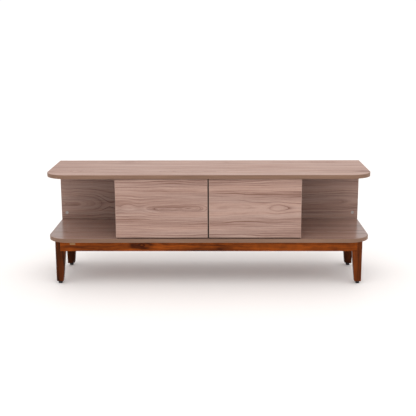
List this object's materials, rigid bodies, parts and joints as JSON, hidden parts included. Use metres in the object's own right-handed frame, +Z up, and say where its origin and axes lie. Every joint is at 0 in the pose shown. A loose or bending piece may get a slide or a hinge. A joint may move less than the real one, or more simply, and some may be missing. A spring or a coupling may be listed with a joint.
{
  "type": "tv stand with doors",
  "caption": "Low TV stand: round-cornered boards, open shelves at both ends, hinged doors on push latches between them, on a tapered-leg wooden frame.",
  "frame": {"origin": "on the floor under the middle of the stand's bounding box", "axes": "+X along the stand's length to the right as seen from the front, +Y to the back, +Z up; the doors face -Y"},
  "size_m": [1.5, 0.42, 0.52],
  "materials": {
    "laminate": "grey-pink oak laminate, satin, with tan edge banding",
    "stained_wood": "solid wood, orange-brown stain, semi-gloss lacquer",
    "black_plastic": "black moulded glide",
    "grey_plastic": "light grey moulded plastic",
    "nickel_steel": "nickel-plated steel",
    "cam_zinc": "dull die-cast zinc",
    "brass_plate": "blank brushed plate"
  },
  "bodies": {
    "carcass": {"top_board": "laminate", "bottom_board": "laminate", "back_board": "laminate", "centre_divider": "laminate", "left_upright": "laminate", "right_upright": "laminate", "front_apron": "stained_wood", "rear_apron": "stained_wood", "left_rail": "stained_wood", "right_rail": "stained_wood", "centre_stretcher": "stained_wood", "front_left_leg": "stained_wood", "front_right_leg": "stained_wood", "rear_left_leg": "stained_wood", "rear_right_leg": "stained_wood", "front_left_brace": "stained_wood", "front_right_brace": "stained_wood", "rear_left_brace": "stained_wood", "rear_right_brace": "stained_wood", "front_left_foot": "black_plastic", "front_right_foot": "black_plastic", "rear_left_foot": "black_plastic", "rear_right_foot": "black_plastic", "left_latch_housing": "grey_plastic", "right_latch_housing": "grey_plastic", "left_hinge_arm_lower": "nickel_steel", "left_hinge_arm_upper": "nickel_steel", "right_hinge_arm_lower": "nickel_steel", "right_hinge_arm_upper": "nickel_steel", "front_left_bolt": "nickel_steel", "front_right_bolt": "nickel_steel", "rear_left_bolt": "nickel_steel", "rear_right_bolt": "nickel_steel", "back_cam_left_lower": "cam_zinc", "back_cam_left_upper": "cam_zinc", "back_cam_right_lower": "cam_zinc", "back_cam_right_upper": "cam_zinc", "left_cam_front_lower": "cam_zinc", "left_cam_front_upper": "cam_zinc", "left_cam_rear_lower": "cam_zinc", "left_cam_rear_upper": "cam_zinc", "right_cam_front_lower": "cam_zinc", "right_cam_front_upper": "cam_zinc", "right_cam_rear_lower": "cam_zinc", "right_cam_rear_upper": "cam_zinc", "maker_plate": "brass_plate"},
    "left_door": {"left_door": "laminate", "left_hinge_cup_lower": "nickel_steel", "left_hinge_cup_upper": "nickel_steel", "left_strike_plate": "nickel_steel"},
    "right_door": {"right_door": "laminate", "right_hinge_cup_lower": "nickel_steel", "right_hinge_cup_upper": "nickel_steel", "right_strike_plate": "nickel_steel"},
    "left_hinge_links": {"left_hinge_link_lower": "nickel_steel", "left_hinge_link_upper": "nickel_steel"},
    "right_hinge_links": {"right_hinge_link_lower": "nickel_steel", "right_hinge_link_upper": "nickel_steel"},
    "left_plunger": {"left_latch_plunger": "grey_plastic"},
    "right_plunger": {"right_latch_plunger": "grey_plastic"}
  },
  "joints": [
    {"name": "left_door_hinge", "type": "hinge", "parent": "carcass", "child": "left_door", "pos_m": [-0.4195, -0.197, 0.362], "axis": [0, 0, -1], "range_deg": [0, 95]},
    {"name": "left_link_hinge", "type": "hinge", "parent": "carcass", "child": "left_hinge_links", "pos_m": [-0.401, -0.182, 0.362], "axis": [0, 0, -1], "range_deg": [-46.5, 0]},
    {"name": "left_plunger_slide", "type": "slide", "parent": "carcass", "child": "left_plunger", "axis": [0, 1, 0], "range_m": [0, 0.004], "stiffness_N_per_m": 400},
    {"name": "right_door_hinge", "type": "hinge", "parent": "carcass", "child": "right_door", "pos_m": [0.4195, -0.197, 0.362], "axis": [0, 0, 1], "range_deg": [0, 95]},
    {"name": "right_link_hinge", "type": "hinge", "parent": "carcass", "child": "right_hinge_links", "pos_m": [0.401, -0.182, 0.362], "axis": [0, 0, 1], "range_deg": [-46.5, 0]},
    {"name": "right_plunger_slide", "type": "slide", "parent": "carcass", "child": "right_plunger", "axis": [0, 1, 0], "range_m": [0, 0.004], "stiffness_N_per_m": 400}
  ],
  "couplings": [
    {"joint": "left_link_hinge", "follows": "left_door_hinge", "ratio": -0.486},
    {"joint": "right_link_hinge", "follows": "right_door_hinge", "ratio": -0.486}
  ]
}
